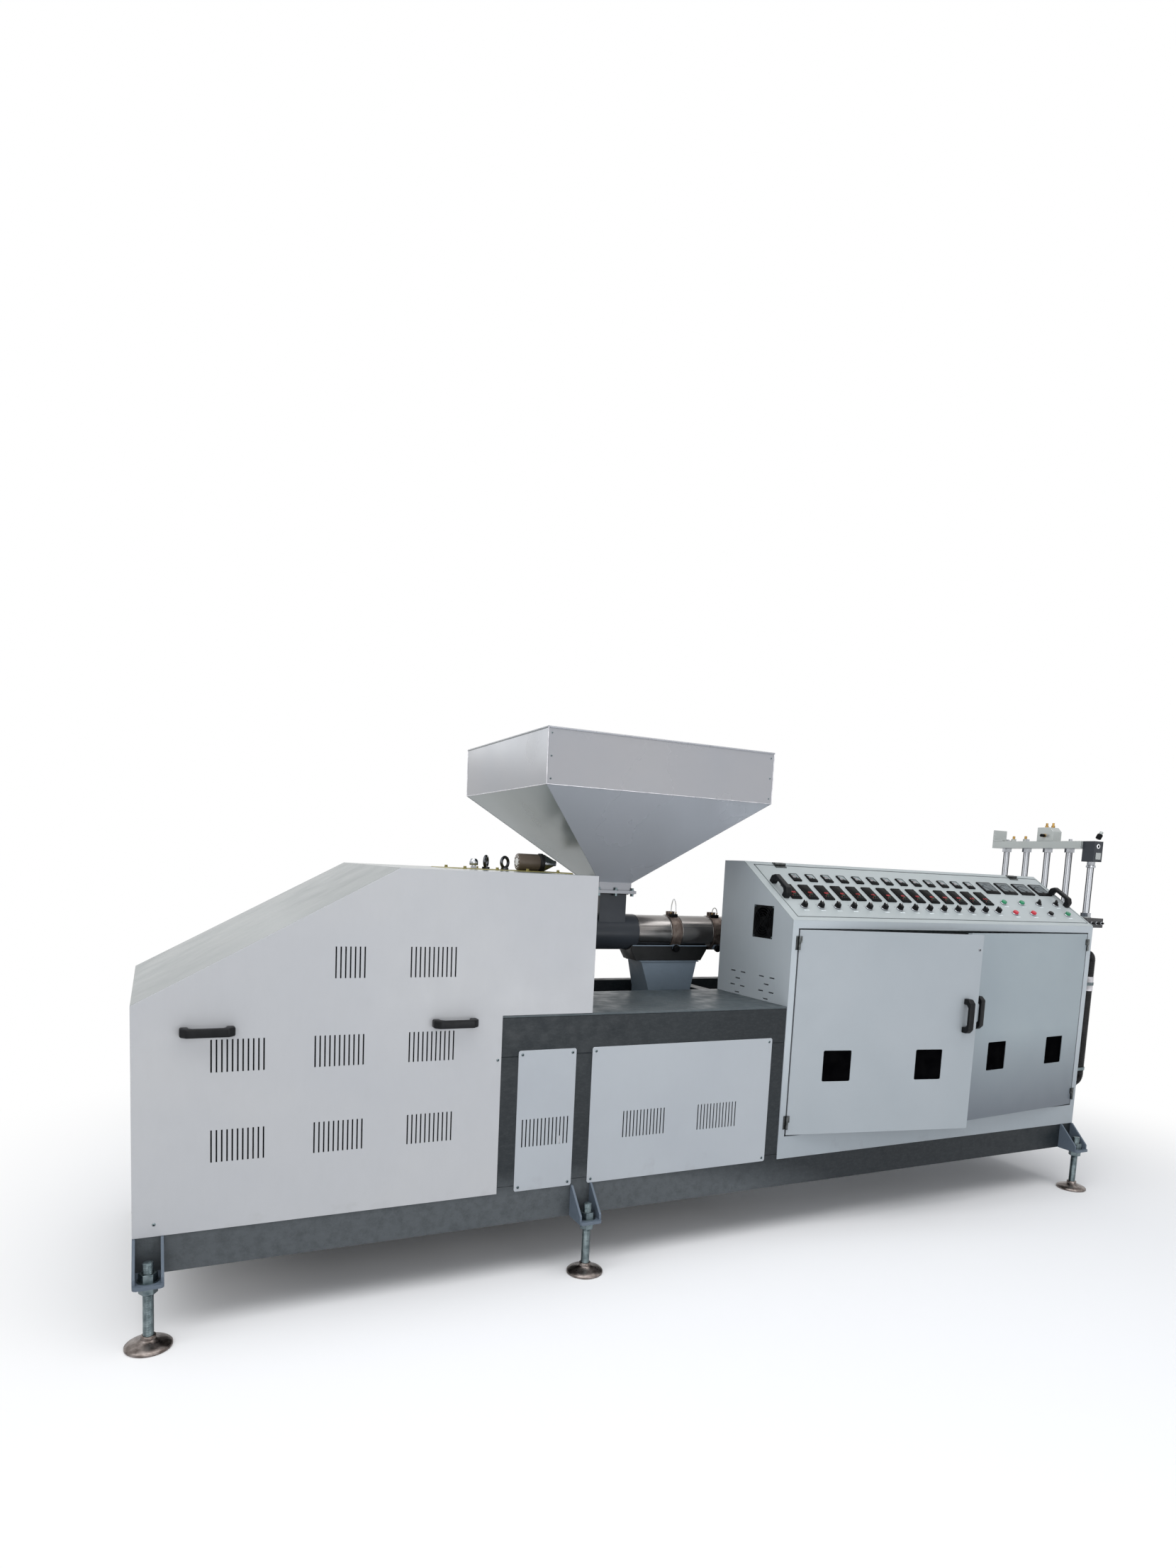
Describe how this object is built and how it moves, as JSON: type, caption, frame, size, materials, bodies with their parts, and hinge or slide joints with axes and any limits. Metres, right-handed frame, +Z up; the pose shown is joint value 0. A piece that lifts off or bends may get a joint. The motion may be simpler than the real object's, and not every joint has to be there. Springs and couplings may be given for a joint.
{
  "type": "plastic extruder",
  "caption": "Single-screw plastic extruder on a slotted steel base with levelling feet, hopper, heated barrel, head and a control cabinet with hinged doors and instrument lid.",
  "frame": {"origin": "middle of the machine's overall box, on the floor that its levelling feet stand on", "axes": "+X along the barrel from the drive end to the head, +Y from the operator's side to the back, +Z up"},
  "size_m": [4.513, 1.2566, 1.842],
  "materials": {
    "base_paint": "satin slate grey paint",
    "housing_paint": "pale grey powder coat",
    "cabinet_paint": "grey powder coat",
    "door_paint": "light grey powder coat",
    "duct_paint": "blue grey paint",
    "gearbox_paint": "olive yellow enamel",
    "filter_paint": "brown enamel",
    "zinc_steel": "zinc plated",
    "bright_steel": "bright",
    "hopper_steel": "satin stainless sheet",
    "jacket_steel": "dull heater cover sheet",
    "head_steel": "machined, handled",
    "feed_iron": "dark oiled iron",
    "handle_plastic": "black",
    "instrument_plastic": "black",
    "button_plastic": "coloured caps",
    "conduit_plastic": "black corrugated"
  },
  "bodies": {
    "root": {"side_rails": "base_paint", "cross_rails": "base_paint", "frame_posts": "base_paint", "deck_plate": "base_paint", "vent_panels": "housing_paint", "foot_brackets": "base_paint", "foot_screws": "zinc_steel", "foot_nuts": "zinc_steel", "foot_pads": "zinc_steel", "housing_front_panel": "housing_paint", "housing_rear_panel": "housing_paint", "housing_end_panels": "housing_paint", "housing_slope_cover": "housing_paint", "housing_top_cover": "housing_paint", "housing_handles": "handle_plastic", "gearbox": "gearbox_paint", "gearbox_lifting_eyes": "zinc_steel", "gearbox_breather": "bright_steel", "oil_filter": "filter_paint", "feed_section": "feed_iron", "hopper": "hopper_steel", "barrel": "feed_iron", "heater_jackets": "jacket_steel", "jacket_bands": "bright_steel", "barrel_stands": "base_paint", "cooling_cowl": "duct_paint", "cooling_duct": "duct_paint", "cooling_blower": "duct_paint", "head_adapter": "feed_iron", "head_manifold": "head_steel", "head_nozzles": "bright_steel", "head_rods": "bright_steel", "rod_clamp": "feed_iron", "head_plate": "head_steel", "head_valve_block": "head_steel", "plate_angle": "head_steel", "cabinet_sides": "cabinet_paint", "cabinet_back": "cabinet_paint", "cabinet_floor": "cabinet_paint", "cabinet_top": "cabinet_paint", "cabinet_front_frame": "cabinet_paint", "cabinet_desk_frame": "cabinet_paint", "cabinet_fan": "instrument_plastic", "conduit": "conduit_plastic", "conduit_clips": "zinc_steel", "cabinet_hinges": "zinc_steel"},
    "left_door": {"left_door": "door_paint", "left_door_handle": "handle_plastic", "left_door_hinges": "zinc_steel"},
    "right_door": {"right_door": "door_paint", "right_door_handle": "handle_plastic", "right_door_hinges": "zinc_steel"},
    "instrument_lid": {"instrument_lid": "cabinet_paint", "temperature_controllers": "instrument_plastic", "panel_meters": "instrument_plastic", "selector_knobs": "instrument_plastic", "push_buttons": "button_plastic", "lid_handles": "handle_plastic", "lid_hinges": "zinc_steel"}
  },
  "joints": [
    {"name": "left_door_hinge", "type": "hinge", "parent": "root", "child": "left_door", "pos_m": [0.001, -0.45223, 0.781], "axis": [0, 0, -1], "range_deg": [-10.4, 100]},
    {"name": "right_door_hinge", "type": "hinge", "parent": "root", "child": "right_door", "pos_m": [1.65, -0.45223, 0.781], "axis": [0, 0, 1], "range_deg": [-5, 105]},
    {"name": "instrument_lid_hinge", "type": "hinge", "parent": "root", "child": "instrument_lid", "pos_m": [0.8385, -0.12761, 1.42258], "axis": [-1, 0, 0], "range_deg": [0, 90]}
  ]
}
